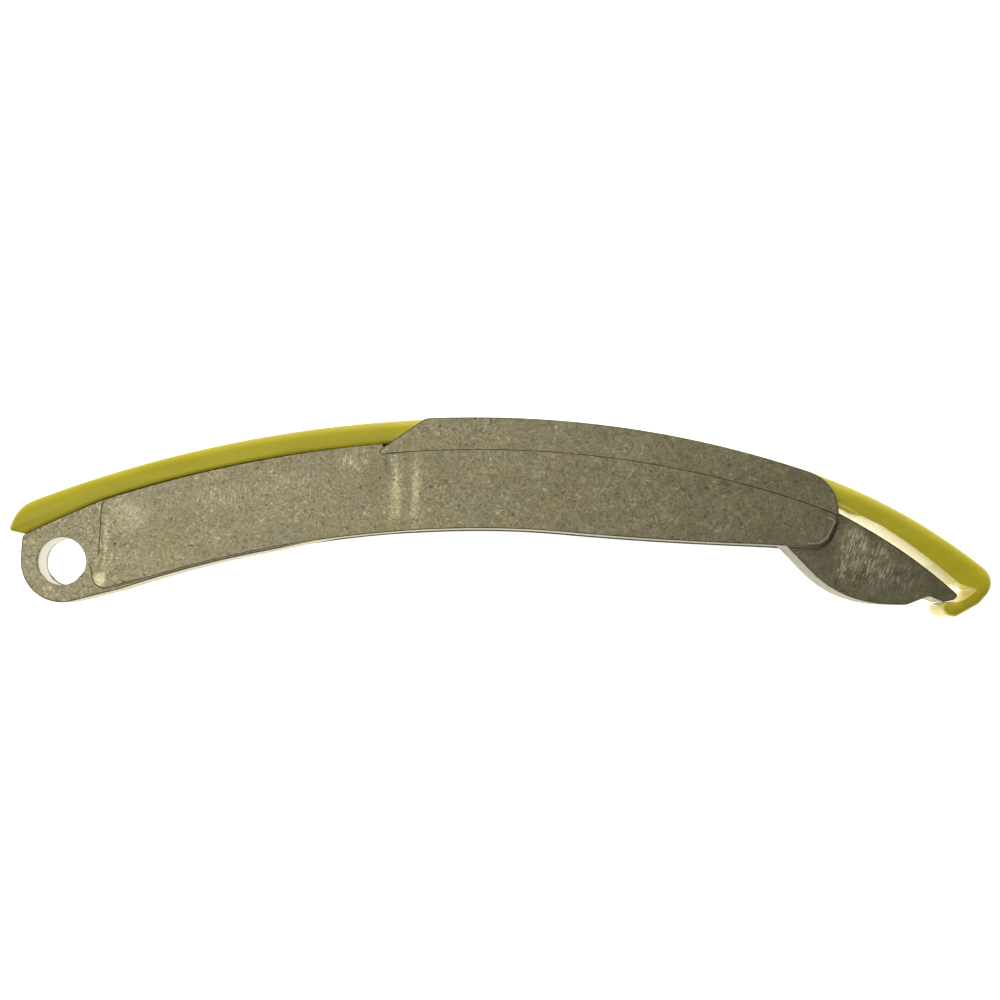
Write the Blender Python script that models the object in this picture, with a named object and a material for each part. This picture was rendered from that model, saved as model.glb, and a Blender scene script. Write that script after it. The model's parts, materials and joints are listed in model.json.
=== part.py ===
"""Pivoted timing chain guide: a pressed channel arm, joggled side plates, guide walls and a hooked wear shoe.

Every outline is drawn in face coordinates. A station is the distance along the running face from the pivot,
and a depth is measured square to that face, into the arm. X runs along the arm, Y towards the chain, and
Z across the arm, with the arm lying on the outer faces of its rear plates.
"""

import math

import bmesh
import bpy
from mathutils import Matrix, Vector

# Running face
FACE_HEIGHT = 0.01475
FACE_SLOPE = math.radians(20.7)
ENTRY_RADIUS = 0.275
ENTRY_RUN = 0.101
MIDDLE_RADIUS = 0.229
MIDDLE_RUN = 0.070
EXIT_RADIUS = 0.127

# Sheet, layers and fits
CHANNEL_WIDTH = 0.015
CHANNEL_SHEET = 0.0018
PLATE_SHEET = 0.0015
LAYER_GAP = 0.0003
EDGE_BREAK = 0.00025
SHOE_CROWN = 0.0018
SHOE_CROWN_DEPTH = 0.0027
SHOE_HEM = 0.0007
SHOE_SIDE_PLAY = 0.0004

# Pivot
PIVOT_BORE = 0.0108
BUSH_WALL = 0.0015

# Wear shoe
SHOE_THICKNESS = 0.0049
SHOE_FOOT = 0.0013
SHOE_START = -0.0083
SHOE_END = 0.2216
FOOT_END = 0.0135
TONGUE_START = 0.024
TONGUE_SETBACK = 0.0232
TONGUE_HEIGHT = 0.0035
TOE_RUN = 0.0060
NOSE_WALL = 0.0026
LIP_ROOT = 0.0038
LIP_DEPTH = 0.0050
LIP_FALL = 0.5
SEAT_FADE = 0.0040

# Arm depths and ends, in face coordinates
ARM_DEPTH = 0.02435
WEB_STEP = 0.0004
WEB_START = 0.011
WEB_END = 0.050
WEB_FADE = 0.014
PLATE_START = 0.0133
TAPER_RUN = 0.0392
TAPER_DEPTH = 0.0150
TAPER_STRAIGHT = 0.0068
LEDGE_DEPTH = 0.0071
JOGGLE_START = 0.0793
JOGGLE_RUN = 0.0081
JOGGLE_LEAN = 0.095
JOGGLE_SHOULDER = 0.0008
WALL_TIP_SETBACK = 0.0024
WALL_TIP_SLANT = 0.0107
WALL_TIP_HEIGHT = 0.0008
STRIP_SETBACK = 0.0006
STRIP_CORNER = 0.0042
STRIP_CORNER_DEPTH = 0.0004
FLANGE_MARGIN = 0.0010
EYE_UPRIGHT = 0.0010
EYE_CORNER = -0.0063

# Leaf past the plates
LEAF_SETBACK = 0.0049
LEAF_LENGTH = 0.0335
LEAF_OVERLAP = 0.0097
LEAF_SOLID = 0.0055
LEAF_DROP = 0.0037
FALL_RUN = 0.0172
FALL_DEPTH = 0.0011
BELLY_RUN = 0.0098
BELLY_DEPTH = 0.0250
BELLY_STRAIGHT = 0.0035

# Corners of the shoe's toe: station from the shoe's start, share of its thickness, rounding
SHOE_TOE = (
    (0.0039, 0.0, 0.0080),
    (0.0, 0.78, 0.0008),
    (0.0003, 0.91, 0.0003),
)
TOE_HEEL = 0.0028

# Corners of the hook: station from the shoe's end, depth past its thickness, rounding
SHOE_HOOK = (
    (-0.0290, 0.0, 0.030),
    (-0.0067, 0.0015, 0.0008),
    (-0.0026, 0.0001, 0.0002),
    (-0.0034, 0.0035, 0.0006),
    (-0.0046, 0.0051, 0.0006),
    (-0.0064, 0.0066, 0.0004),
    (-0.0061, 0.0081, 0.0007),
    (-0.0044, 0.0086, 0.0010),
    (-0.0024, 0.0078, 0.0010),
    (0.0, 0.0021, 0.0040),
    (0.0, -0.0047, 0.0042),
)

# Place in the hook's list of the corner at its lip's end
LIP_CORNER = 6

# Corners of the leaf's neck and nose: station from the leaf's tip, depth from it, rounding
LEAF_NECK = (
    (-0.0089, 0.0083, 0.003),
    (-0.0055, 0.0038, 0.0015),
    (-0.0018, 0.0029, 0.0008),
    (-0.0003, 0.0012, 0),
)
LEAF_NOSE = (
    (0.0, 0.0002, 0),
    (-0.0004, -0.0003, 0),
)

# Corners of the side plate's lobe by the bore: station from the plate's start, depth from the arm's, rounding
PLATE_LOBE = (
    (-0.0046, -0.00795, 0.0012),
    (-0.0071, -0.00710, 0.0014),
    (-0.0083, -0.00080, 0.0028),
    (0.0067, 0.0, 0.020),
)

# Sampling of curves
CHORD = 0.004
CHORD_MARGIN = 0.1
ARC_STEP = math.radians(10.0)
SMALL_ARC_STEP = math.radians(30.0)
SMALL_RADIUS = 0.0010
BORE_SEGMENTS = 48
JOGGLE_CUTS = 8
CROWN_SEGMENTS = 5
SHARP_ANGLE = math.radians(35.0)
BREAK_ANGLE = math.radians(50.0)
TRIM = 0.002
WELD = 0.00001
CUT = 0.000001

EYE_RADIUS = PIVOT_BORE / 2 + BUSH_WALL + LAYER_GAP + CHANNEL_SHEET
SEAT_DEPTH = SHOE_THICKNESS + LAYER_GAP
LOW_LEVEL = CHANNEL_WIDTH / 2 + LAYER_GAP
LIFT = PLATE_SHEET + LAYER_GAP
HIGH_LEVEL = LOW_LEVEL + LIFT
SHOE_HALF_WIDTH = HIGH_LEVEL - SHOE_SIDE_PLAY
INNER_HALF_WIDTH = CHANNEL_WIDTH / 2 - CHANNEL_SHEET
LEAF_TIP = SHOE_END - LEAF_SETBACK
LEAF_TIP_DEPTH = SHOE_THICKNESS + LEAF_DROP
PLATE_END = LEAF_TIP - LEAF_LENGTH
TAPER_START = PLATE_END - TAPER_RUN
LEAF_START = PLATE_END - LEAF_OVERLAP
WALL_TIP = JOGGLE_START - WALL_TIP_SETBACK
FACE_RUNS = ((ENTRY_RADIUS, ENTRY_RUN), (MIDDLE_RADIUS, MIDDLE_RUN), (EXIT_RADIUS, math.inf))


def face_point(station, depth):
    """Plan point at a station along the running face and a depth square to it."""
    angle = FACE_SLOPE
    spot = FACE_HEIGHT * Vector((-math.sin(angle), math.cos(angle)))
    for radius, run in FACE_RUNS:
        travel = min(station, run)
        centre = spot + radius * Vector((math.sin(angle), -math.cos(angle)))
        angle -= travel / radius
        spot = centre + radius * Vector((-math.sin(angle), math.cos(angle)))
        station -= travel
        if station <= 0:
            break
    return spot + depth * Vector((math.sin(angle), -math.cos(angle)))


def place_by_pivot(point):
    """Face coordinates of a plan point beside the pivot, where the face follows its first radius."""
    centre = (ENTRY_RADIUS - FACE_HEIGHT) * Vector((math.sin(FACE_SLOPE), -math.cos(FACE_SLOPE)))
    out = point - centre
    return ENTRY_RADIUS * (math.atan2(out.x, out.y) + FACE_SLOPE), ENTRY_RADIUS - out.length


def fitting_radius(before, here, after, straight):
    """Radius that rounds a corner as far as leaves one straight length on its shorter side."""
    towards_before = Vector(before) - Vector(here)
    towards_after = Vector(after) - Vector(here)
    reach = min(towards_before.length, towards_after.length) - straight
    return reach * math.tan(towards_before.angle(towards_after) / 2)


def corner_arc(before, here, after, radius):
    """Points of the arc that rounds one corner, or the corner itself where its radius is zero."""
    if radius == 0:
        return [here]
    towards_before = (before - here).normalized()
    towards_after = (after - here).normalized()
    half = towards_before.angle(towards_after) / 2
    centre = here + (towards_before + towards_after).normalized() * radius / math.sin(half)
    first = here + towards_before * radius / math.tan(half) - centre
    turn = math.pi - 2 * half
    if towards_before.cross(towards_after) > 0:
        turn = -turn
    step = ARC_STEP if radius > SMALL_RADIUS else SMALL_ARC_STEP
    count = max(2, math.ceil(abs(turn) / step), math.ceil(abs(turn) * radius / CHORD))
    return [centre + Matrix.Rotation(turn * i / count, 2) @ first for i in range(count + 1)]


def marks(low, high):
    """Stations between two ends at which every long line is cut into chords, so that the pieces' facets align."""
    first = math.ceil(low / CHORD + CHORD_MARGIN)
    last = math.floor(high / CHORD - CHORD_MARGIN)
    return [CHORD * i for i in range(first, last + 1)]


def chords(points, closed=True):
    """The same line with its long stretches cut into short chords, so that they can follow the face."""
    result = []
    ends = points[1:] + points[:1] if closed else points[1:]
    for here, after in zip(points, ends):
        stations = marks(min(here.x, after.x), max(here.x, after.x))
        if after.x < here.x:
            stations.reverse()
        result.append(here)
        result += [here.lerp(after, (station - here.x) / (after.x - here.x)) for station in stations]
    if not closed:
        result.append(points[-1])
    return result


def rounded(corners, closed=True):
    """Outline in face coordinates from corners given as (station, depth, radius)."""
    spots = [Vector(corner[:2]) for corner in corners]
    points = []
    for i, corner in enumerate(corners):
        inner = closed or 0 < i < len(corners) - 1
        before = spots[i - 1]
        after = spots[(i + 1) % len(spots)]
        points += corner_arc(before, spots[i], after, corner[2]) if inner else [spots[i]]
    return chords(points, closed)


def moved(corners, station, depth):
    """Corners given from a spot of their own, moved to where that spot lies."""
    return [(station + corner[0], depth + corner[1], corner[2]) for corner in corners]


def plan(points):
    """Face coordinates turned into plan points."""
    return [face_point(point.x, point.y) for point in points]


def inset(points, distance):
    """An open plan line moved sideways, to the left of its direction, by one distance."""
    shifted = []
    for i, point in enumerate(points):
        along = points[min(i + 1, len(points) - 1)] - points[max(i - 1, 0)]
        along.normalize()
        shifted.append(point + distance * Vector((-along.y, along.x)))
    return shifted


def steel(name, colour, roughness):
    """Bare steel with its own tone."""
    material = bpy.data.materials.new(name)
    material.use_nodes = True
    shader = material.node_tree.nodes["Principled BSDF"]
    shader.inputs["Base Color"].default_value = (*colour, 1.0)
    shader.inputs["Roughness"].default_value = roughness
    shader.inputs["Metallic"].default_value = 1.0
    return material


def nylon(name, colour):
    """Moulded nylon, slightly glossy."""
    material = bpy.data.materials.new(name)
    material.use_nodes = True
    shader = material.node_tree.nodes["Principled BSDF"]
    shader.inputs["Base Color"].default_value = (*colour, 1.0)
    shader.inputs["Roughness"].default_value = 0.38
    return material


def new_object(name, bm, material=None):
    """Object from a finished bmesh, with outward faces and smooth shading between its sharp edges."""
    bmesh.ops.recalc_face_normals(bm, faces=bm.faces)
    if bm.calc_volume(signed=True) < 0:
        bmesh.ops.reverse_faces(bm, faces=bm.faces)
    mesh = bpy.data.meshes.new(name)
    bm.to_mesh(mesh)
    bm.free()
    mesh.shade_smooth()
    mesh.set_sharp_from_angle(angle=SHARP_ANGLE)
    obj = bpy.data.objects.new(name, mesh)
    bpy.context.collection.objects.link(obj)
    if material:
        mesh.materials.append(material)
    return obj


def prism(points, low, high):
    """Closed bmesh from an outline, between two heights."""
    bm = bmesh.new()
    face = bm.faces.new([bm.verts.new((point.x, point.y, low)) for point in points])
    raised = bmesh.ops.extrude_face_region(bm, geom=[face])["geom"]
    spots = [item for item in raised if isinstance(item, bmesh.types.BMVert)]
    bmesh.ops.translate(bm, vec=(0, 0, high - low), verts=spots)
    return bm


def extend(bm, faces, distance):
    """Extrude end faces along the stations, and return the faces that then close the end."""
    borders = list({edge for face in faces for edge in face.edges})
    raised = bmesh.ops.extrude_face_region(bm, geom=faces + borders)["geom"]
    ends = [item for item in raised if isinstance(item, bmesh.types.BMFace)]
    spots = [item for item in raised if isinstance(item, bmesh.types.BMVert)]
    bmesh.ops.translate(bm, vec=(distance, 0, 0), verts=spots)
    return ends


def cut_across(bm, station, lean=0.0):
    """Cut a flat blank across at one station, or along a line that leans back with the depth."""
    geometry = bm.verts[:] + bm.edges[:] + bm.faces[:]
    bmesh.ops.bisect_plane(bm, geom=geometry, dist=CUT, plane_co=(station, 0, 0), plane_no=(1, lean, 0))


def form(bm, side, rise):
    """Bend a flat blank, drawn as station, depth and height, to the face, with a rise across the arm."""
    for vert in bm.verts:
        spot = face_point(vert.co.x, vert.co.y)
        vert.co = (spot.x, spot.y, side * (vert.co.z + rise(vert.co)))


def helper(name, bm):
    """Hidden operand of a Boolean."""
    obj = new_object(name, bm)
    obj.hide_render = True
    obj.display_type = "WIRE"
    return obj


def combine(obj, operand, operation):
    """Boolean of one object with a hidden operand."""
    modifier = obj.modifiers.new(operand.name, "BOOLEAN")
    modifier.operation = operation
    modifier.solver = "EXACT"
    modifier.object = operand


def weld_doubles(obj):
    """Merge the points that the Booleans left double."""
    weld = obj.modifiers.new("weld", "WELD")
    weld.merge_threshold = WELD


def break_edges(obj):
    """Small broken edges, as a press leaves them, after a weld of what the Booleans left double."""
    weld_doubles(obj)
    modifier = obj.modifiers.new("edges", "BEVEL")
    modifier.width = EDGE_BREAK
    modifier.segments = 1
    modifier.limit_method = "ANGLE"
    modifier.angle_limit = BREAK_ANGLE
    modifier.use_clamp_overlap = False


def taper_depth(station, margin):
    """Depth of the arm's lower edge past the start of its taper, held back by a margin."""
    slope = (TAPER_DEPTH - ARM_DEPTH) / (PLATE_END - TAPER_START)
    return ARM_DEPTH + slope * (station - TAPER_START) - margin


def taper_radius():
    """Radius of the bend where the arm's lower edge starts to taper."""
    before = (WEB_END + WEB_FADE, ARM_DEPTH)
    after = (LEAF_START, taper_depth(LEAF_START, 0))
    return fitting_radius(before, (TAPER_START, ARM_DEPTH), after, TAPER_STRAIGHT)


def eye_arc():
    """Plan points of the eye's rim, from its left side round to where the lower edge leaves it."""
    first = math.radians(180.0)
    last = math.radians(286.0)
    count = math.ceil((last - first) / ARC_STEP)
    turns = [first + (last - first) * i / count for i in range(count + 1)]
    return [EYE_RADIUS * Vector((math.cos(turn), math.sin(turn))) for turn in turns]


def lower_edge(neck):
    """Plan points of the channel's lower edge, from the eye through the corners of the leaf's neck."""
    depth = ARM_DEPTH + WEB_STEP
    hidden = ARM_DEPTH - EDGE_BREAK
    root = (LEAF_START, taper_depth(LEAF_START, EDGE_BREAK))
    belly = (PLATE_END + BELLY_RUN, BELLY_DEPTH)
    throat = moved(LEAF_NECK, LEAF_TIP, LEAF_TIP_DEPTH)[0]
    corners = [
        (WEB_START, depth, 0),
        (WEB_END, depth, 0.050),
        (WEB_END + WEB_FADE, hidden, 0.050),
        (TAPER_START, hidden, taper_radius()),
        (*root, 0.0010),
        (*belly, fitting_radius(root, belly, throat[:2], BELLY_STRAIGHT)),
    ]
    corners += moved(neck, LEAF_TIP, LEAF_TIP_DEPTH)
    return eye_arc() + plan(rounded(corners, closed=False))


def upper_edge():
    """Plan points of the channel's upper edge, from the leaf's tip back to the eye's upright left side."""
    corners = [
        (PLATE_END, SEAT_DEPTH + FALL_DEPTH, 0.030),
        (PLATE_END - FALL_RUN, SEAT_DEPTH, 0.010),
        (FOOT_END, SEAT_DEPTH, 0.010),
        (EYE_CORNER, SEAT_DEPTH + SHOE_FOOT, 0.0008),
        (*place_by_pivot(Vector((-EYE_RADIUS, EYE_UPRIGHT))), 0),
    ]
    nose = moved(LEAF_NOSE, LEAF_TIP, LEAF_TIP_DEPTH)
    return plan(rounded(nose + corners, closed=False))


def channel_pocket():
    """The hollow between the walls, one sheet above the web and open towards the shoe."""
    floor = inset(lower_edge(LEAF_NECK[:2]), CHANNEL_SHEET)
    beyond = 2 * EYE_RADIUS
    ends = [Vector((LEAF_TIP - LEAF_SOLID, -SHOE_THICKNESS)), Vector((-beyond, -SHOE_THICKNESS))]
    lid = plan(chords(ends, closed=False))
    first = floor[0] + Vector((-beyond, 0))
    return helper("channel_pocket", prism([first] + floor + lid, -INNER_HALF_WIDTH, INNER_HALF_WIDTH))


def bore_cutter():
    """Cutter for the pivot bore, running past both walls."""
    bm = bmesh.new()
    radius = PIVOT_BORE / 2
    bmesh.ops.create_cone(
        bm, cap_ends=True, segments=BORE_SEGMENTS, radius1=radius, radius2=radius, depth=2 * CHANNEL_WIDTH
    )
    return helper("bore_cutter", bm)


def arm_channel(material):
    """Pressed channel: two walls with the eye and the leaf, joined by a web along the lower edge."""
    outline = lower_edge(LEAF_NECK) + upper_edge()
    channel = new_object("arm_channel", prism(outline, -CHANNEL_WIDTH / 2, CHANNEL_WIDTH / 2), material)
    combine(channel, channel_pocket(), "DIFFERENCE")
    combine(channel, bore_cutter(), "DIFFERENCE")
    break_edges(channel)
    return channel


def pivot_bush(material):
    """Spacer tube between the channel's walls, bored for the pivot bolt."""
    half = INNER_HALF_WIDTH - LAYER_GAP
    inner = PIVOT_BORE / 2
    outer = inner + BUSH_WALL
    bm = bmesh.new()
    spots = ((inner, -half), (outer, -half), (outer, half), (inner, half))
    profile = [bm.verts.new((radius, 0, height)) for radius, height in spots]
    edges = [bm.edges.new((profile[i], profile[(i + 1) % 4])) for i in range(4)]
    bmesh.ops.spin(
        bm,
        geom=profile + edges,
        cent=(0, 0, 0),
        axis=(0, 0, 1),
        angle=math.tau,
        steps=BORE_SEGMENTS,
        use_merge=True,
    )
    return new_object("pivot_bush", bm, material)


def joggle(spot):
    """Rise of a side plate's blank at a spot, from its low level over the channel to its high level."""
    share = min(max((spot.x + JOGGLE_LEAN * spot.y - JOGGLE_START) / JOGGLE_RUN, 0.0), 1.0)
    return LIFT * share * share * (3 - 2 * share)


def side_plate(name, side, material):
    """Blank of a side plate, cut across at its joggle and then formed to the face and its two levels."""
    corners = [
        (TAPER_START, ARM_DEPTH, taper_radius()),
        (PLATE_END, TAPER_DEPTH, 0.0045),
        (PLATE_END, LEDGE_DEPTH + LAYER_GAP, 0.0014),
        (JOGGLE_START - JOGGLE_SHOULDER, LEDGE_DEPTH + LAYER_GAP, 0.0004),
        (JOGGLE_START - 2 * JOGGLE_SHOULDER, SEAT_DEPTH, 0.0004),
        (PLATE_START, SEAT_DEPTH + LAYER_GAP, 0.0016),
    ]
    corners += moved(PLATE_LOBE, PLATE_START, ARM_DEPTH)
    bm = prism(rounded(corners), LOW_LEVEL, LOW_LEVEL + PLATE_SHEET)
    for i in range(JOGGLE_CUTS + 1):
        cut_across(bm, JOGGLE_START + JOGGLE_RUN * i / JOGGLE_CUTS, JOGGLE_LEAN)
    form(bm, side, joggle)
    plate = new_object(name, bm, material)
    break_edges(plate)
    return plate


def folded_strip(side, flange_start, flange_end):
    """Sheet folded to a Z section along the face: outer strip, fold and inner flange, all longer than needed."""
    fold = LEDGE_DEPTH - PLATE_SHEET
    outer = HIGH_LEVEL + PLATE_SHEET
    inner = LOW_LEVEL + PLATE_SHEET
    section = (
        (-TRIM, HIGH_LEVEL),
        (-TRIM, outer),
        (LEDGE_DEPTH, outer),
        (LEDGE_DEPTH, HIGH_LEVEL),
        (LEDGE_DEPTH, inner),
        (ARM_DEPTH, inner),
        (ARM_DEPTH, LOW_LEVEL),
        (fold, LOW_LEVEL),
        (fold, HIGH_LEVEL),
    )
    bm = bmesh.new()
    rim = [bm.verts.new((flange_start, depth, height)) for depth, height in section]
    strip = bm.faces.new(rim[0:4] + rim[8:9])
    leg = bm.faces.new(rim[3:9])
    far = extend(bm, [strip, leg], flange_end - flange_start)
    far_strip = max(far, key=lambda face: face.calc_center_median().z)
    extend(bm, [strip], WALL_TIP - TRIM - flange_start)
    extend(bm, [far_strip], PLATE_END + TRIM - flange_end)
    for station in marks(WALL_TIP - TRIM, PLATE_END + TRIM):
        cut_across(bm, station)
    form(bm, side, lambda spot: 0.0)
    return bm


def guide_wall(name, side, material):
    """Guide wall beside the shoe: an outer strip, folded inwards to a flange behind the side plate."""
    margin = FLANGE_MARGIN
    flange_start = JOGGLE_START + JOGGLE_RUN + margin
    flange_end = PLATE_END - margin
    wall = new_object(name, folded_strip(side, flange_start, flange_end), material)
    strip_end = PLATE_END - STRIP_SETBACK
    trim = [
        (WALL_TIP, LEDGE_DEPTH - WALL_TIP_HEIGHT, 0),
        (WALL_TIP + WALL_TIP_SLANT, 0.0, 0.0030),
        (PLATE_END - STRIP_CORNER, STRIP_CORNER_DEPTH, 0.0100),
        (strip_end, LEDGE_DEPTH, 0),
        (strip_end, taper_depth(strip_end, margin), 0),
        (TAPER_START, ARM_DEPTH - margin, taper_radius()),
        (flange_start - TRIM, ARM_DEPTH - margin, 0),
        (flange_start - TRIM, LEDGE_DEPTH + margin, 0),
        (WALL_TIP, LEDGE_DEPTH + margin, 0),
    ]
    reach = 2 * (HIGH_LEVEL + PLATE_SHEET)
    combine(wall, helper(name + "_trim", prism(plan(rounded(trim)), -reach, reach)), "INTERSECT")
    break_edges(wall)
    return wall


def fall_back(distance, radius):
    """How far an edge rounded to one radius falls back, at a distance in from the side face."""
    reach = max(radius - distance, 0.0)
    return radius - math.sqrt(radius * radius - reach * reach)


def part_way(value, start, end):
    """Share of the way from one value to another, held between 0 and 1."""
    return min(max((value - start) / (end - start), 0.0), 1.0)


def crowned(point, distance):
    """A point of the shoe's outline, drawn in where its rounded edges fall back near a side face."""
    crown = fall_back(distance, SHOE_CROWN)
    hem = fall_back(distance, SHOE_HEM)
    face = part_way(point.y, SHOE_THICKNESS, 0.0)
    toe = part_way(point.x, SHOE_START + TOE_RUN, SHOE_START) * part_way(point.y, SHOE_THICKNESS + SHOE_FOOT, 0.0)
    nose = part_way(point.x, SHOE_END - NOSE_WALL, SHOE_END)
    lip_end, lip_low = SHOE_HOOK[LIP_CORNER][:2]
    lip = LIP_FALL * part_way(point.y, SHOE_THICKNESS + LIP_DEPTH, SHOE_THICKNESS + lip_low)
    end = LIP_FALL * part_way(point.x, SHOE_END - LIP_ROOT, SHOE_END + lip_end)
    end *= part_way(point.y, SHOE_THICKNESS + LIP_ROOT, SHOE_THICKNESS + LIP_DEPTH)
    seat = part_way(point.y, SHOE_THICKNESS / 2, SHOE_THICKNESS)
    seat *= part_way(point.x, PLATE_END + SEAT_FADE, PLATE_END)
    rise = crown * (face * SHOE_CROWN_DEPTH / SHOE_CROWN - lip)
    return Vector((point.x + crown * (toe + end - nose), point.y + rise - hem * seat))


def crown_levels():
    """Heights from the shoe's one side face to the other, close together where the edges are rounded."""
    turns = [math.pi / 2 * i / CROWN_SEGMENTS for i in range(CROWN_SEGMENTS + 1)]
    heights = [SHOE_HALF_WIDTH - SHOE_CROWN * (1 - math.sin(turn)) for turn in turns]
    return [-height for height in reversed(heights)] + heights


def shoe_body(outline):
    """Closed bmesh of the shoe, skinned over its outline at each level."""
    bm = bmesh.new()
    rings = []
    for height in crown_levels():
        points = plan([crowned(point, SHOE_HALF_WIDTH - abs(height)) for point in outline])
        rings.append([bm.verts.new((point.x, point.y, height)) for point in points])
    for lower, upper in zip(rings, rings[1:]):
        for i in range(len(outline)):
            bm.faces.new((lower[i - 1], lower[i], upper[i], upper[i - 1]))
    bm.faces.new(rings[0])
    bm.faces.new(rings[-1])
    return bm


def wear_shoe(material):
    """Moulded shoe: crowned running face, foot at the pivot, tongue in the channel and hook at the leaf's tip."""
    toe = [(SHOE_START + station, share * SHOE_THICKNESS, radius) for station, share, radius in SHOE_TOE]
    foot = [
        (SHOE_START + TOE_HEEL, SHOE_THICKNESS + SHOE_FOOT, 0.0010),
        (FOOT_END, SHOE_THICKNESS, 0.010),
    ]
    corners = toe + foot + moved(SHOE_HOOK, SHOE_END, SHOE_THICKNESS)
    bm = shoe_body(rounded(corners))
    shoe = new_object("wear_shoe", bm, material)
    tongue_end = PLATE_END - TONGUE_SETBACK
    tongue = [
        (TONGUE_START, SHOE_THICKNESS / 2, 0),
        (tongue_end, SHOE_THICKNESS / 2, 0),
        (tongue_end, SHOE_THICKNESS + TONGUE_HEIGHT, 0.002),
        (TONGUE_START, SHOE_THICKNESS + TONGUE_HEIGHT, 0.002),
    ]
    half = INNER_HALF_WIDTH - LAYER_GAP
    combine(shoe, helper("shoe_tongue", prism(plan(rounded(tongue)), -half, half)), "UNION")
    weld_doubles(shoe)
    return shoe


def lay_on_floor():
    """Parent everything to one empty, which centres the arm over the origin with its rear plates at Z zero."""
    bpy.context.view_layer.update()
    graph = bpy.context.evaluated_depsgraph_get()
    meshes = list(bpy.data.objects)
    pieces = [obj for obj in meshes if not obj.hide_render]
    corners = [Vector(corner) for piece in pieces for corner in piece.evaluated_get(graph).bound_box]
    low = Vector([min(corner[i] for corner in corners) for i in range(3)])
    high = Vector([max(corner[i] for corner in corners) for i in range(3)])
    frame = bpy.data.objects.new("guide_frame", None)
    bpy.context.collection.objects.link(frame)
    frame.location = (-(low.x + high.x) / 2, -(low.y + high.y) / 2, -low.z)
    for obj in meshes:
        obj.parent = frame


def main():
    for obj in list(bpy.data.objects):
        bpy.data.objects.remove(obj)
    arm_channel(steel("channel_steel", (0.20, 0.17, 0.11), 0.45))
    pivot_bush(steel("bush_steel", (0.45, 0.44, 0.38), 0.35))
    side_plate("front_side_plate", 1, steel("front_plate_steel", (0.27, 0.24, 0.16), 0.45))
    side_plate("rear_side_plate", -1, steel("rear_plate_steel", (0.27, 0.24, 0.16), 0.45))
    guide_wall("front_guide_wall", 1, steel("front_wall_steel", (0.25, 0.22, 0.15), 0.45))
    guide_wall("rear_guide_wall", -1, steel("rear_wall_steel", (0.25, 0.22, 0.15), 0.45))
    wear_shoe(nylon("shoe_nylon", (0.48, 0.42, 0.06)))
    lay_on_floor()


main()
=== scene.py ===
"""Looks of a pivoted timing chain guide: tumbled steel sheets, a bored eye and a moulded nylon shoe.

Every piece is a worked copy of the solid it stands for, so it lies where the frame says. Lengths are in
metres, and the patterns are worked out in millimetres. X runs along the arm from the eye to the hook, Y
towards the chain, and Z across the arm, up from the floor that it lies on.
"""

import json
import math

import bpy
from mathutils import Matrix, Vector

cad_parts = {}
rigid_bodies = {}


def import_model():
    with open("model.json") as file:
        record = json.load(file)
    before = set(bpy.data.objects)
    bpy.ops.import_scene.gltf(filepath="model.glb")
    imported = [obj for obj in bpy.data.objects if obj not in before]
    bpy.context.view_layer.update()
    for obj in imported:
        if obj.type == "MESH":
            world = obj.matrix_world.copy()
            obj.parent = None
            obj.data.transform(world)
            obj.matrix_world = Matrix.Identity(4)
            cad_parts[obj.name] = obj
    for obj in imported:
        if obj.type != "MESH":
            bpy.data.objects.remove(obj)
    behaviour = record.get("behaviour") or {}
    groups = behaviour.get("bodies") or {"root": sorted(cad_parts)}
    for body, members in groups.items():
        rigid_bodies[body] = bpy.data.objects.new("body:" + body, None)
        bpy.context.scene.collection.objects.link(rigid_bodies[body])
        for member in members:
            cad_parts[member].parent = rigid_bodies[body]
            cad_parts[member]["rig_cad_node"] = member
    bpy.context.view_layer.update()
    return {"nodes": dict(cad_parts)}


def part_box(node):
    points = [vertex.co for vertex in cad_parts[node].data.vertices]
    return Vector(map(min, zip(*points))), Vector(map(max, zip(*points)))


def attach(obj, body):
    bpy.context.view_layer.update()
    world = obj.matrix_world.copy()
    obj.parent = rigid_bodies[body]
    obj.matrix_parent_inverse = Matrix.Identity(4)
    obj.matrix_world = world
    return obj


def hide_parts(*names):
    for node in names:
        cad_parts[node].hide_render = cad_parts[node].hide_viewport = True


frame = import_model()

bl_info = {
    "name": "Timing Chain Guide Looks",
    "version": (1, 0, 0),
    "blender": (4, 5, 0),
    "location": "View3D > Sidebar > Chain Guide",
    "description": "Dresses the solids of a pivoted timing chain guide and sets up its stage",
    "category": "Object",
}

MM = 0.001

# Joined surfaces
MERGE_DISTANCE = 0.00001
FLAT_ANGLE = math.radians(0.2)
SMOOTH_ANGLE = math.radians(60.0)

# Broken edges of the sheets: how upright their faces' normals are, how much painted shade darkens them, and how far
# from the pivot's axis the bore's own end, which take painted light in place of painted shade
RIM_LOW = 0.35
RIM_HIGH = 0.80
RIM_SHADE = 0.50
BORE_REACH = 0.0070

# Inside of the hook: where it starts, where its lip starts, how much its faces turn back towards the leaf, how
# much smoother they are, how much of that and of the glow the lip has, and the painted glow there, which stands in
# for the daylight that comes through the nylon
HOOK_START = 0.0560
HOOK_MIDDLE = 0.0950
HOOK_TURN = 0.20
HOOK_POLISH = 0.62
LIP_GLOSS_AND_GLOW = 0.8
HOOK_GLOW = (0.22, 0.18, 0.035)

# Cut edges: how much they look towards the shoe or away from it, how much brighter the painted light on them makes
# them, and where along the arm the painted light on the side away from the shoe has faded out, over what length
CHAIN_SIDE = 0.5
CUT_EDGE_PAINTED_LIGHT = 0.9
NEAR_SIDE_END = 0.058
NEAR_SIDE_FADE = 0.085

# Seams by the shoe: how far their edges and broken edges are drawn towards them, and how far along the arm
SEAM_CLOSING = 0.00025
RIM_CLOSING = 0.00021
EYE_REACH = -0.060
ARM_REACH = 1.0
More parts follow.
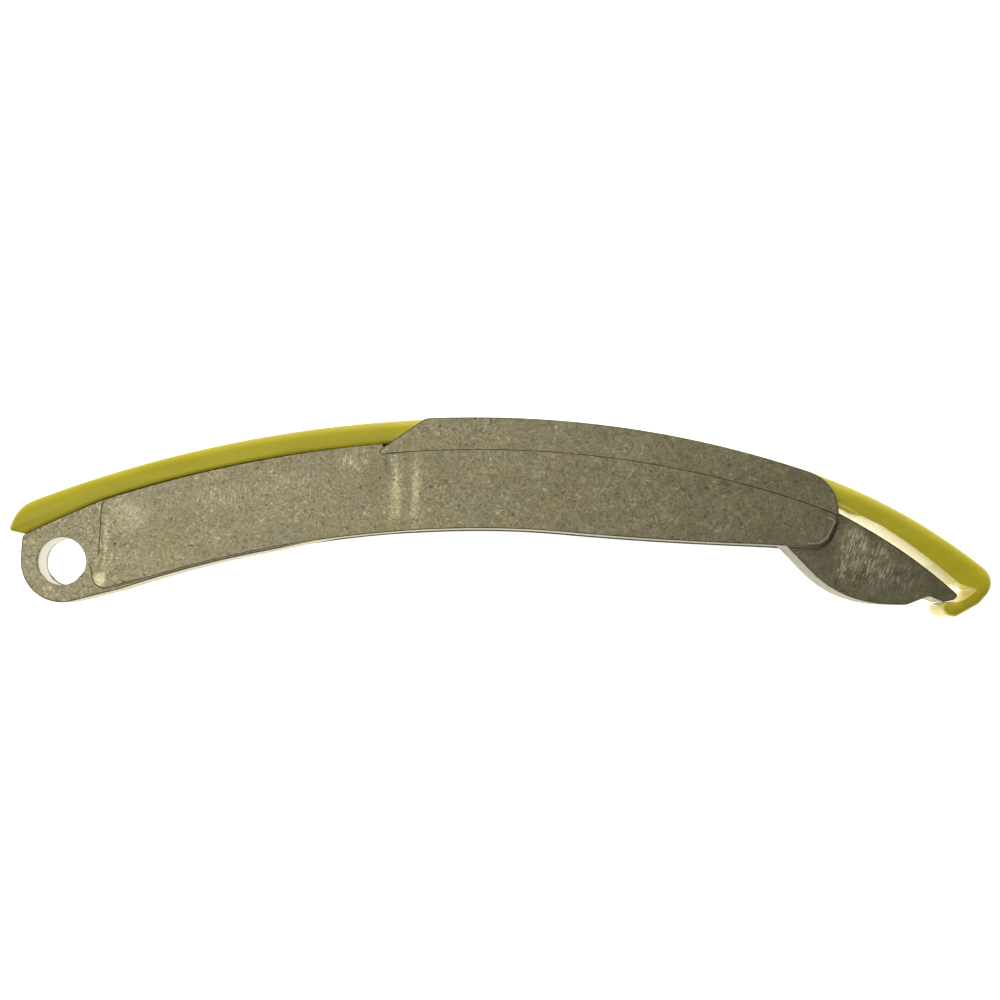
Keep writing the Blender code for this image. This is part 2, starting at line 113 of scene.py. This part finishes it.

# Rounded end of the side plates, by the leaf: where it starts, the breadth of its margin and of the painted
# highlight line inside it, how high that line reaches, how bright the painted highlight is, and the least area and
# levelness of the face it is cut in
END_START = 0.0662
END_ROUND = 0.00065
END_LINE = 0.00025
END_LINE_TOP = -0.0002
LINE_PAINTED_HIGHLIGHT = 0.85
END_AREA = 0.00001
FLAT_FACE = 0.99

# Stretches of the arm over which the marks on its steel come to stand out more, towards the hook and towards the
# eye, in millimetres, and by how much
DUSK_RUN = (-30.0, 40.0)
DUSK_CONTRAST = 0.45
EYE_RUN = (-90.0, -78.0)
EYE_CONTRAST = 0.7

# Steel bared by rubbing
RUBBED_COLOUR = (0.80, 0.74, 0.50)

# Studio: the camera's place in millimetres from the pivot's axis, the radius where the floor starts to lose its
# glow, in metres, the share that it loses, and the colours of the light boxes and of the air round the stage
CAMERA_FROM_PIVOT = (86.57, -9.57)
FLOOR_REACH = 0.45
FLOOR_FALL = 0.6
BOX_COLOUR = (1.0, 0.99, 0.96)
AIR_REFLECTED = (0.03, 0.03, 0.03, 1.0)
AIR_SEEN = (0.95, 0.95, 0.95, 1.0)


def pivot_axis():
    """Where the pivot's axis meets the floor, worked out from the bush."""
    low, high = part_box("pivot_bush")
    middle = (low + high) / 2
    return Vector((middle.x, middle.y, 0.0))


def arm_middle_height():
    """Height of the arm's mid-plane over the floor."""
    low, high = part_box("pivot_bush")
    return (low.z + high.z) / 2


class Wire:
    """One output of a shader node. Arithmetic on it adds Math nodes."""

    def __init__(self, finish, socket):
        self.finish = finish
        self.socket = socket

    def __add__(self, other):
        return self.finish.maths("ADD", self, other)

    __radd__ = __add__

    def __sub__(self, other):
        return self.finish.maths("SUBTRACT", self, other)

    def __rsub__(self, other):
        return self.finish.maths("SUBTRACT", other, self)

    def __mul__(self, other):
        return self.finish.maths("MULTIPLY", self, other)

    __rmul__ = __mul__


class Finish:
    """A material in the making: its node tree, and the shader that its patterns feed."""

    def __init__(self, name):
        self.material = bpy.data.materials.new(name)
        self.material.use_nodes = True
        self.tree = self.material.node_tree
        self.shader = self.tree.nodes["Principled BSDF"]

    def node(self, kind, settings=None, sockets=None, output=0):
        """Add a node, set its settings, then fill its sockets with values or wires, and return one output."""
        made = self.tree.nodes.new(kind)
        for key, value in (settings or {}).items():
            setattr(made, key, value)
        for key, value in (sockets or {}).items():
            self.fill(made.inputs[key], value)
        return Wire(self, made.outputs[output])

    def fill(self, socket, value):
        """Link a wire to a socket, or set the socket's own value."""
        if isinstance(value, Wire):
            self.tree.links.new(value.socket, socket)
        elif socket.type == "RGBA" and len(value) == 3:
            socket.default_value = (*value, 1.0)
        else:
            socket.default_value = value

    def maths(self, operation, first, second=0.0):
        return self.node("ShaderNodeMath", {"operation": operation}, {0: first, 1: second})

    def clamp(self, wire):
        return self.node("ShaderNodeClamp", None, {"Value": wire})

    def step(self, wire, low, high):
        """Smooth rise of a value from 0 at one level to 1 at another."""
        settings = {"interpolation_type": "SMOOTHSTEP"}
        return self.node("ShaderNodeMapRange", settings, {"Value": wire, "From Min": low, "From Max": high})

    def place(self):
        """The spot on the surface, in millimetres."""
        spot = self.node("ShaderNodeTexCoord", None, None, "Object")
        return self.node("ShaderNodeVectorMath", {"operation": "SCALE"}, {0: spot, "Scale": 1 / MM})

    def along(self, spot):
        """How far along the arm a spot lies, in millimetres."""
        return self.node("ShaderNodeSeparateXYZ", None, {"Vector": spot}, "X")

    def turned(self, spot, centre=(0, 0, 0), turn=0.0, size=(1, 1, 1)):
        """The spot seen from a centre, turned about Z, and measured in the given sizes."""
        sockets = {"Vector": spot, "Location": centre, "Rotation": (0, 0, math.radians(turn)), "Scale": size}
        return self.node("ShaderNodeMapping", {"vector_type": "TEXTURE"}, sockets)

    def noise(self, spot, grain, detail=2.0, roughness=0.5, distortion=0.0):
        """Cloudy pattern with features of about one grain in millimetres."""
        sockets = {
            "Vector": spot,
            "Scale": 1 / grain,
            "Detail": detail,
            "Roughness": roughness,
            "Distortion": distortion,
        }
        return self.node("ShaderNodeTexNoise", None, sockets, "Fac")

    def patch(self, spot, centre, size, turn=0.0, soft=0.5):
        """Mask of 1 in a soft ellipse on the arm's faces, falling to 0 at its rim."""
        seen = self.turned(spot, (*centre, 0), turn, (*size, 1000.0))
        reach = self.node("ShaderNodeVectorMath", {"operation": "LENGTH"}, {0: seen}, "Value")
        return 1 - self.step(reach, 1 - soft, 1.0)

    def attribute(self, name):
        """A value that the piece's faces carry."""
        return self.node("ShaderNodeAttribute", {"attribute_name": name}, None, "Fac")

    def blend(self, share, first, second):
        """Mix of two colours by a share of the second."""
        sockets = {"Factor": share, "A": first, "B": second}
        return self.node("ShaderNodeMix", {"data_type": "RGBA"}, sockets, "Result")

    def plain(self, colour):
        """One colour as a wire."""
        return self.blend(0.0, colour, colour)

    def tint(self, colour, strength):
        """A colour made lighter or darker by a varying strength."""
        return self.node("ShaderNodeVectorMath", {"operation": "SCALE"}, {0: colour, "Scale": strength})

    def bump(self, height, depth):
        """Surface normal of a height pattern, whose full range stands for one depth in millimetres."""
        sockets = {"Height": height, "Distance": depth * MM, "Strength": 1.0}
        return self.node("ShaderNodeBump", None, sockets, "Normal")

    def feed(self, **values):
        """Fill the shader's sockets, named with underscores for spaces."""
        for key, value in values.items():
            self.fill(self.shader.inputs[key.replace("_", " ")], value)


def steel_finish(name, colour, rubs=(), smudges_and_painted_shade=(), glints=()):
    """Tumbled sheet steel: clouds, crinkles, light flecks and dark pits, streaks where it was rubbed, and smudges.
    Painted on top: shade and highlights in given patches, shade on the broken edges, light on the cut edges and a
    highlight line.
    """
    finish = Finish(name)
    spot = finish.place()
    clouds = finish.noise(spot, 5.5, 3.0, 0.6, 0.4) - 0.5
    mottle = finish.noise(finish.turned(spot, (13, 7, 2)), 1.7, 4.0, 0.72, 0.9) - 0.5
    grain = finish.noise(finish.turned(spot, (37, 3, 8)), 0.50, 2.0, 0.7, 0.3) - 0.5
    crowding = finish.step(finish.noise(finish.turned(spot, (31, 7, 0)), 6.5, 3.0), 0.42, 0.60)
    flecks = finish.step(finish.noise(finish.turned(spot, (11, 53, 3)), 0.75, 3.0, 0.6, 0.8), 0.57, 0.66)
    pits = finish.step(finish.noise(finish.turned(spot, (71, 19, 5)), 0.8, 3.0, 0.65, 0.3), 0.60, 0.70)
    ridge = finish.maths("ABSOLUTE", finish.noise(finish.turned(spot, (5, 23, 1)), 2.6, 4.0, 0.6, 1.6) - 0.5)
    crinkle = (1 - finish.step(ridge, 0.0, 0.022)) * crowding
    dusk = finish.step(finish.along(spot), *DUSK_RUN)
    eye = 1 - finish.step(finish.along(spot), *EYE_RUN)
    marks = clouds * 0.36 + mottle * 0.74 + grain * 0.8
    marks = marks + flecks * (0.10 + crowding * 0.32) + crinkle * 0.26 - pits * 0.28
    tone = 0.96 + marks * (1 + dusk * DUSK_CONTRAST + eye * EYE_CONTRAST)
    rough = 0.42 + clouds * 0.20 - grain * 0.20 - flecks * 0.06 + pits * 0.12
    relief = grain * 0.9 + mottle * 1.3 - pits * 0.5 + flecks * 0.2
    rubbed = 0.0
    for centre, size, turn, lean, strength in rubs:
        zone = finish.patch(spot, centre, size, turn, 0.8)
        strokes = finish.noise(finish.turned(spot, (7, 3, 0), lean, (0.22, 2.0, 1.0)), 1.0, 2.0, 0.5)
        worn = finish.step(strokes, 0.46, 0.64) * zone * finish.step(finish.noise(spot, 1.9, 2.0), 0.30, 0.54)
        rubbed = rubbed + worn * strength
    # Dark patches: smudges on the steel, and painted shade or shadow where the list gives it
    for centre, size, turn, strength in smudges_and_painted_shade:
        tone = tone - finish.patch(spot, centre, size, turn, 0.9) * strength
    # Glints are painted highlights, which also make the steel a little smoother
    for centre, size, turn, strength in glints:
        glint = finish.patch(spot, centre, size, turn, 0.9) * (1.0 + mottle * 2.0)
        tone = tone + glint * strength
        rough = rough - glint * 0.08
    # Painted shade on the broken edges, standing in for the dark that their rounding reflects
    rim = finish.attribute("rim")
    tone = tone * (1 - rim * RIM_SHADE)
    # Painted highlight along the plates' ends, and painted light on the cut edges and on the bore's rims
    tone = tone + finish.attribute("line") * LINE_PAINTED_HIGHLIGHT + finish.attribute("bright") * CUT_EDGE_PAINTED_LIGHT
    hue = finish.step(finish.noise(finish.turned(spot, (3, 41, 9)), 7.0, 4.0, 0.65), 0.36, 0.64)
    cool = tuple(c * f for c, f in zip(colour, (0.99, 1.00, 1.05)))
    warm = tuple(c * f for c, f in zip(colour, (1.02, 0.99, 0.95)))
    bare = finish.blend(hue, cool, warm)
    if rubs:
        bare = finish.blend(finish.clamp(rubbed), bare, RUBBED_COLOUR)
    finish.feed(
        Base_Color=finish.tint(bare, tone),
        Metallic=1.0,
        Roughness=finish.clamp(rough),
        Normal=finish.bump(relief, 0.018),
    )
    return finish.material


def bored_steel_finish(name, colour):
    """Satin steel of the bore, with fine turned rings round its axis."""
    finish = Finish(name)
    spot = finish.place()
    rings = finish.noise(finish.turned(spot, (0, 0, 0), 0.0, (30.0, 30.0, 0.12)), 1.0, 2.0, 0.6)
    clouds = finish.noise(spot, 2.5, 3.0, 0.6)
    finish.feed(
        Base_Color=finish.tint(finish.plain(colour), 0.84 + clouds * 0.16 + rings * 0.14),
        Metallic=1.0,
        Roughness=finish.clamp(0.30 + clouds * 0.14),
        Normal=finish.bump(rings, 0.004),
    )
    return finish.material


def nylon_finish(name, colour, roughness):
    """Moulded nylon: faint flow clouds, the mould's soft grain, and a painted glow inside the hook that stands in
    for light let through it.
    """
    finish = Finish(name)
    spot = finish.place()
    flow = finish.noise(finish.turned(spot, (0, 0, 0), 8.0, (3.0, 1.0, 1.0)), 6.0, 3.0, 0.5, 0.6)
    skin = finish.noise(spot, 0.35, 2.0, 0.5)
    swell = finish.noise(spot, 4.0, 1.0, 0.5)
    gloss_and_painted_glow = finish.attribute("gloss_and_painted_glow")
    deep = tuple(c * f for c, f in zip(colour, (0.95, 0.93, 0.85)))
    pale = tuple(c * f for c, f in zip(colour, (1.04, 1.05, 1.15)))
    finish.feed(
        Base_Color=finish.blend(finish.step(flow, 0.30, 0.70), deep, pale),
        Roughness=finish.clamp((roughness + flow * 0.06 + skin * 0.05) * (1 - gloss_and_painted_glow * HOOK_POLISH)),
        # Painted glow on the faces inside the hook, standing in for light let through the nylon
        Emission_Color=finish.tint(finish.plain(HOOK_GLOW), gloss_and_painted_glow),
        Emission_Strength=1.0,
        Normal=finish.bump(swell * 0.8 + skin * 0.2, 0.015),
        Specular_IOR_Level=0.42,
    )
    return finish.material


def floor_finish(name, colour, glow, reach):
    """Pale floor that glows evenly where the arm lies, and less towards its far edge."""
    finish = Finish(name)
    spot = finish.node("ShaderNodeTexCoord", None, None, "Object")
    distance = finish.node("ShaderNodeVectorMath", {"operation": "LENGTH"}, {0: spot}, "Value")
    fall = finish.step(distance, reach, reach * 3.0)
    finish.feed(
        Base_Color=colour,
        Roughness=0.9,
        Emission_Color=finish.tint(finish.plain(colour), 1 - fall * FLOOR_FALL),
        Emission_Strength=glow,
    )
    return finish.material


def select_only(piece):
    """Make one object the only selected and the active one."""
    bpy.ops.object.select_all(action="DESELECT")
    piece.select_set(True)
    bpy.context.view_layer.objects.active = piece


def joined_copy(node, name):
    """Copy of a solid with its triangles joined into flat faces, standing for the solid from here on."""
    select_only(frame["nodes"][node])
    bpy.ops.object.duplicate()
    piece = bpy.context.active_object
    piece.name = name
    piece.data.name = name
    del piece["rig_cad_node"]
    bpy.ops.object.parent_clear(type="CLEAR_KEEP_TRANSFORM")
    piece.data.materials.clear()
    bpy.ops.object.mode_set(mode="EDIT")
    bpy.ops.mesh.select_all(action="SELECT")
    bpy.ops.mesh.remove_doubles(threshold=MERGE_DISTANCE)
    bpy.ops.mesh.dissolve_limited(angle_limit=FLAT_ANGLE)
    bpy.ops.object.mode_set(mode="OBJECT")
    bpy.ops.mesh.customdata_custom_splitnormals_clear()
    return piece


def is_rim(face):
    """Whether a face belongs to a broken edge, neither level nor upright."""
    return RIM_LOW < abs(face.normal.z) < RIM_HIGH


def is_open_rim(face):
    """Whether a broken edge looks away from the shoe."""
    return is_rim(face) and face.normal.y < RIM_LOW


def is_outer_rim(face):
    """Whether a broken edge looks away from the arm's lower side."""
    return is_rim(face) and face.normal.y > -RIM_LOW


def is_eye_rim(face):
    """Whether a broken edge lies away from the bore."""
    return is_rim(face) and (face.center - pivot_axis()).to_2d().length > BORE_REACH


def is_no_rim(face):
    """Leaves every broken edge as pale as the rest, as on the bore's sleeve."""
    return False


def select_faces(piece, wanted):
    """Select the faces that a test picks, and stay in Edit Mode."""
    select_only(piece)
    bpy.ops.object.mode_set(mode="EDIT")
    bpy.ops.mesh.select_mode(type="FACE")
    bpy.ops.mesh.select_all(action="DESELECT")
    bpy.ops.object.mode_set(mode="OBJECT")
    for face in piece.data.polygons:
        face.select = wanted(face)
    bpy.ops.object.mode_set(mode="EDIT")


def close_seam(piece, side, reach, distance):
    """Shift the edges that look to one side of the arm, as far along it as the reach."""
    select_faces(piece, lambda face: face.normal.y * side > CHAIN_SIDE and face.center.x < reach)
    bpy.ops.transform.translate(value=(0.0, side * distance, 0.0))
    bpy.ops.object.mode_set(mode="OBJECT")


def narrow_rims(piece, side, reach):
    """Narrow the broken edges that look to one side, so that their seam shows as a fine line."""
    rims = set()
    level = set()
    for face in piece.data.polygons:
        if abs(face.normal.z) >= RIM_HIGH:
            level.update(face.vertices)
        elif is_rim(face) and face.normal.y * side > RIM_LOW and face.center.x < reach:
            rims.update(face.vertices)
    select_faces(piece, lambda face: False)
    bpy.ops.mesh.select_mode(type="VERT")
    bpy.ops.object.mode_set(mode="OBJECT")
    for vertex in piece.data.vertices:
        vertex.select = vertex.index in rims and vertex.index in level
    bpy.ops.object.mode_set(mode="EDIT")
    bpy.ops.transform.translate(value=(0.0, side * RIM_CLOSING, 0.0))
    bpy.ops.object.mode_set(mode="OBJECT")


def round_plate_end(piece, side):
    """Cut a margin inside the outline of the plate's end by the leaf, and mark a painted highlight line along it.
    """
    select_only(piece)
    bpy.ops.object.mode_set(mode="EDIT")
    bpy.ops.mesh.select_all(action="SELECT")
    bpy.ops.mesh.bisect(plane_co=(END_START, 0.0, 0.0), plane_no=(1.0, 0.0, 0.0))
    bpy.ops.object.mode_set(mode="OBJECT")

    def is_end(face):
        return face.normal.z * side > FLAT_FACE and face.center.x > END_START and face.area > END_AREA

    select_faces(piece, is_end)
    bpy.ops.mesh.inset(thickness=END_ROUND)
    bpy.ops.object.mode_set(mode="OBJECT")
    before = len(piece.data.polygons)
    bpy.ops.object.mode_set(mode="EDIT")
    bpy.ops.mesh.inset(thickness=END_LINE)
    bpy.ops.object.mode_set(mode="OBJECT")
    painted_highlight_line = piece.data.attributes.new("line", "FLOAT", "FACE")
    for face in piece.data.polygons[before:]:
        below = face.center.y < END_LINE_TOP
        painted_highlight_line.data[face.index].value = float(below and face.center.x > END_START + 2 * END_ROUND)


def mark_rims(piece, dark):
    """Mark the broken edges that get painted shade and the cut edges that get painted light, for the piece's
    material.
    """
    rims = piece.data.attributes.new("rim", "FLOAT", "FACE")
    painted_edge_light = piece.data.attributes.new("bright", "FLOAT", "FACE")
    for face in piece.data.polygons:
        rims.data[face.index].value = float(dark(face))
        upright = abs(face.normal.z) < RIM_LOW
        chain_side = upright and face.normal.y > CHAIN_SIDE
        bore_rim = is_rim(face) and not is_eye_rim(face)
        near_side = upright and face.normal.y < -CHAIN_SIDE
        faded = max(0.0, min(1.0, (NEAR_SIDE_END - face.center.x) / NEAR_SIDE_FADE))
        painted_edge_light.data[face.index].value = 1.0 if chain_side or bore_rim else near_side * faded


def mark_hook_inside(piece):
    """Mark the faces inside the shoe's hook, which look to the leaf, as glossy and as glowing with painted light.
    """
    inside = piece.data.attributes.new("gloss_and_painted_glow", "FLOAT", "FACE")
    for face in piece.data.polygons:
        turned_in = min(face.normal.x, face.normal.y) < -HOOK_TURN
        underside = turned_in and HOOK_START < face.center.x < HOOK_MIDDLE
        lip = turned_in and face.center.x >= HOOK_MIDDLE and abs(face.normal.z) < RIM_LOW
        inside.data[face.index].value = 1.0 if underside else LIP_GLOSS_AND_GLOW * lip


def finish_piece(piece, node, material, dark=is_rim, flat=True):
    """Shade a worked piece, with broad faces kept flat or softly domed, and let it stand for its solid."""
    select_only(piece)
    mark_rims(piece, dark)
    bpy.ops.object.shade_smooth_by_angle(angle=SMOOTH_ANGLE)
    if flat:
        weighted = piece.modifiers.new("even_faces", "WEIGHTED_NORMAL")
        weighted.keep_sharp = True
        bpy.ops.object.modifier_apply(modifier=weighted.name)
    piece.data.materials.append(material)
    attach(piece, "root")
    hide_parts(node)


class SteelSettings(bpy.types.PropertyGroup):
    """Sizes and colours of the steel pieces."""

    plate_colour: bpy.props.FloatVectorProperty(
        name="Plate colour",
        description="Colour of the side plates, guide walls and channel",
        subtype="COLOR",
        size=3,
        default=(0.315, 0.284, 0.174),
        min=0.0,
        max=1.0,
    )
    bore_colour: bpy.props.FloatVectorProperty(
        name="Bore colour",
        description="Colour of the bore's wall",
        subtype="COLOR",
        size=3,
        default=(0.78, 0.76, 0.66),
        min=0.0,
        max=1.0,
    )


class ShoeSettings(bpy.types.PropertyGroup):
    """Colour and gloss of the moulded shoe."""

    nylon_colour: bpy.props.FloatVectorProperty(
        name="Nylon colour",
        description="Colour of the wear shoe",
        subtype="COLOR",
        size=3,
        default=(0.655, 0.570, 0.022),
        min=0.0,
        max=1.0,
    )
    roughness: bpy.props.FloatProperty(
        name="Roughness",
        description="How matte the moulded skin is",
        default=0.40,
        min=0.0,
        max=1.0,
        subtype="FACTOR",
    )


class StageSettings(bpy.types.PropertyGroup):
    """Floor, light and camera."""

    floor_size: bpy.props.FloatProperty(
        name="Floor size",
        description="Length of the floor's sides",
        default=6.0,
        unit="LENGTH",
    )
    floor_colour: bpy.props.FloatVectorProperty(
        name="Floor colour",
        description="Colour of the floor",
        subtype="COLOR",
        size=3,
        default=(0.93, 0.93, 0.92),
        min=0.0,
        max=1.0,
    )
    floor_glow: bpy.props.FloatProperty(
        name="Floor glow",
        description="Strength of the light that the floor gives off",
        default=0.95,
        min=0.0,
    )
    camera_height: bpy.props.FloatProperty(
        name="Camera height",
        description="Height of the camera over the arm's mid-plane",
        default=0.5645,
        unit="LENGTH",
    )
    camera_lens: bpy.props.FloatProperty(
        name="Focal length",
        description="Focal length of the camera, in millimetres",
        default=91.1455,
        subtype="DISTANCE_CAMERA",
    )
    camera_shift: bpy.props.FloatVectorProperty(
        name="Camera shift",
        description="Shift of the picture, as shares of its width",
        size=2,
        default=(0.045, 0.105),
    )


class GUIDE_OT_channel(bpy.types.Operator):
    """Dress the pressed channel with the eye and the leaf"""

    bl_idname = "chain_guide.channel"
    bl_label = "Arm Channel"

    def execute(self, context):
        settings = context.scene.guide_steel
        piece = joined_copy("arm_channel", "channel_body")
        close_seam(piece, 1, EYE_REACH, SEAM_CLOSING)
        narrow_rims(piece, 1, EYE_REACH)
        rubs = (
            ((77.4, -8.2), (5.0, 8.6), -8.0, -21.0, 2.0),
            ((82.6, -10.4), (6.0, 7.0), -22.0, -21.0, 1.4),
            ((89.0, -13.4), (6.0, 4.4), -30.0, -21.0, 0.8),
        )
        # Painted shadow of the side plate's end on the leaf
        smudges_and_painted_shade = (((73.6, -8.5), (2.6, 8.0), 8.0, 0.22),)
        glints = (((86.0, -10.0), (24.0, 18.0), -25.0, 0.24),)
        material = steel_finish("channel_steel", settings.plate_colour, rubs, smudges_and_painted_shade, glints)
        finish_piece(piece, "arm_channel", material, is_eye_rim)
        return {"FINISHED"}


class GUIDE_OT_bush(bpy.types.Operator):
    """Dress the sleeve inside the eye"""

    bl_idname = "chain_guide.bush"
    bl_label = "Pivot Bush"

    def execute(self, context):
        settings = context.scene.guide_steel
        piece = joined_copy("pivot_bush", "bore_sleeve")
        material = bored_steel_finish("bush_steel", settings.bore_colour)
        finish_piece(piece, "pivot_bush", material, is_no_rim)
        return {"FINISHED"}


class GUIDE_OT_side_plates(bpy.types.Operator):
    """Dress the joggled side plates"""

    bl_idname = "chain_guide.side_plates"
    bl_label = "Side Plates"

    def execute(self, context):
        settings = context.scene.guide_steel
        rubs = (
            ((-60.5, 4.8), (11.0, 3.4), 9.0, -5.0, 0.42),
            ((-44.5, 8.4), (9.0, 2.6), 8.0, -5.0, 0.32),
            ((-32.6, 13.4), (5.0, 4.2), 0.0, -5.0, 0.48),
        )
        # The first two are smudges on the steel; the last is painted shade beside the joggle's bend
        smudges_and_painted_shade = (
            ((-52.5, 12.2), (1.1, 0.9), 20.0, 0.40),
            ((49.1, 7.2), (2.6, 1.1), -15.0, 0.32),
            ((-24.9, 11.5), (1.2, 3.2), 0.0, 0.25),
        )
        glints = (
            ((-88.8, -14.1), (2.6, 2.6), 0.0, 0.45),
            ((-22.6, 6.0), (1.8, 9.5), -1.2, 0.21),
            ((-18.6, 6.0), (1.3, 9.5), -1.2, 0.05),
            ((-87.7, -13.4), (1.8, 2.2), 20.0, 0.50),
            ((-86.6, -5.0), (0.9, 9.5), -3.0, 0.16),
            ((-81.5, 0.0), (6.0, 5.0), 20.0, 0.12),
            ((51.7, 5.4), (1.0, 0.35), 40.0, 0.30),
            ((35.7, 2.0), (0.4, 3.8), -18.0, 0.16),
        )
        for side in ("front", "rear"):
            node = side + "_side_plate"
            piece = joined_copy(node, side + "_plate")
            round_plate_end(piece, 1 if side == "front" else -1)
            close_seam(piece, 1, ARM_REACH, SEAM_CLOSING)
            narrow_rims(piece, 1, ARM_REACH)
            material = steel_finish(side + "_plate_steel", settings.plate_colour, rubs, smudges_and_painted_shade, glints)
            finish_piece(piece, node, material, is_open_rim)
        return {"FINISHED"}


class GUIDE_OT_guide_walls(bpy.types.Operator):
    """Dress the guide walls beside the shoe"""

    bl_idname = "chain_guide.guide_walls"
    bl_label = "Guide Walls"

    def execute(self, context):
        settings = context.scene.guide_steel
        for side in ("front", "rear"):
            node = side + "_guide_wall"
            piece = joined_copy(node, side + "_wall")
            narrow_rims(piece, -1, ARM_REACH)
            material = steel_finish(side + "_wall_steel", settings.plate_colour)
            finish_piece(piece, node, material, is_outer_rim)
        return {"FINISHED"}


class GUIDE_OT_shoe(bpy.types.Operator):
    """Dress the moulded wear shoe"""

    bl_idname = "chain_guide.shoe"
    bl_label = "Wear Shoe"

    def execute(self, context):
        settings = context.scene.guide_shoe
        piece = joined_copy("wear_shoe", "nylon_shoe")
        material = nylon_finish("shoe_nylon", settings.nylon_colour, settings.roughness)
        mark_hook_inside(piece)
        finish_piece(piece, "wear_shoe", material, is_rim, False)
        return {"FINISHED"}


def add_softbox(name, place, size, power):
    """Add a soft area light that points at the arm's middle."""
    bpy.ops.object.light_add(type="AREA", location=place)
    light = bpy.context.active_object
    light.name = name
    light.data.shape = "RECTANGLE"
    light.data.size = size[0]
    light.data.size_y = size[1]
    light.data.energy = power
    light.data.color = BOX_COLOUR
    light.rotation_euler = (-Vector(place)).to_track_quat("-Z", "Y").to_euler()


class GUIDE_OT_stage(bpy.types.Operator):
    """Set up the pale floor, the soft light and the camera"""

    bl_idname = "chain_guide.stage"
    bl_label = "Stage"

    def execute(self, context):
        settings = context.scene.guide_stage
        self.add_floor(settings)
        self.add_lights()
        self.add_camera(settings)
        context.scene.view_settings.view_transform = "Standard"
        return {"FINISHED"}

    def add_floor(self, settings):
        bpy.ops.mesh.primitive_circle_add(vertices=96, radius=settings.floor_size / 2, fill_type="NGON")
        floor = bpy.context.active_object
        floor.name = "floor"
        pale = floor_finish("floor_pale", settings.floor_colour, settings.floor_glow, FLOOR_REACH)
        floor.data.materials.append(pale)

    def add_lights(self):
        add_softbox("overhead_softbox", (-0.08, 0.03, 0.92), (0.76, 0.20), 1.22)
        add_softbox("key_softbox", (-0.34, 0.04, 0.66), (0.20, 0.24), 0.54)
        add_softbox("left_softbox", (-0.72, 0.0, 0.55), (0.30, 0.30), 0.48)
        add_softbox("chain_side_softbox", (0.18, 0.80, 0.34), (0.90, 0.35), 5.1)
        add_softbox("near_side_softbox", (0.10, -0.75, 0.34), (0.90, 0.35), 1.0)
        world = bpy.context.scene.world or bpy.data.worlds.new("studio")
        bpy.context.scene.world = world
        world.use_nodes = True
        tree = world.node_tree
        seen = tree.nodes.new("ShaderNodeLightPath")
        colour = tree.nodes.new("ShaderNodeMix")
        colour.data_type = "RGBA"
        colour.inputs["A"].default_value = AIR_REFLECTED
        colour.inputs["B"].default_value = AIR_SEEN
        tree.links.new(seen.outputs["Is Camera Ray"], colour.inputs["Factor"])
        tree.links.new(colour.outputs["Result"], tree.nodes["Background"].inputs["Color"])

    def add_camera(self, settings):
        spot = pivot_axis() + Vector(CAMERA_FROM_PIVOT).to_3d() * MM
        height = arm_middle_height() + settings.camera_height
        bpy.ops.object.camera_add(location=(spot.x, spot.y, height), rotation=(0.0, 0.0, 0.0))
        camera = bpy.context.active_object
        camera.name = "camera"
        camera.data.lens = settings.camera_lens
        camera.data.shift_x, camera.data.shift_y = settings.camera_shift
        bpy.context.scene.camera = camera


OPERATORS = (
    GUIDE_OT_channel,
    GUIDE_OT_bush,
    GUIDE_OT_side_plates,
    GUIDE_OT_guide_walls,
    GUIDE_OT_shoe,
    GUIDE_OT_stage,
)


class GUIDE_PT_panel(bpy.types.Panel):
    """Lists the pieces of the chain guide and their settings"""

    bl_idname = "GUIDE_PT_panel"
    bl_label = "Chain Guide"
    bl_space_type = "VIEW_3D"
    bl_region_type = "UI"
    bl_category = "Chain Guide"

    def draw(self, context):
        for operator in OPERATORS:
            self.layout.operator(operator.bl_idname)
        for name in ("guide_steel", "guide_shoe", "guide_stage"):
            settings = getattr(context.scene, name)
            box = self.layout.box()
            for key in settings.__annotations__:
                box.prop(settings, key)


CLASSES = (SteelSettings, ShoeSettings, StageSettings, *OPERATORS, GUIDE_PT_panel)


def register():
    for item in CLASSES:
        bpy.utils.register_class(item)
    bpy.types.Scene.guide_steel = bpy.props.PointerProperty(type=SteelSettings)
    bpy.types.Scene.guide_shoe = bpy.props.PointerProperty(type=ShoeSettings)
    bpy.types.Scene.guide_stage = bpy.props.PointerProperty(type=StageSettings)


def unregister():
    del bpy.types.Scene.guide_stage
    del bpy.types.Scene.guide_shoe
    del bpy.types.Scene.guide_steel
    for item in reversed(CLASSES):
        bpy.utils.unregister_class(item)


def main():
    register()
    bpy.ops.chain_guide.channel()
    bpy.ops.chain_guide.bush()
    bpy.ops.chain_guide.side_plates()
    bpy.ops.chain_guide.guide_walls()
    bpy.ops.chain_guide.shoe()
    bpy.ops.chain_guide.stage()


if __name__ == "__main__":
    main()
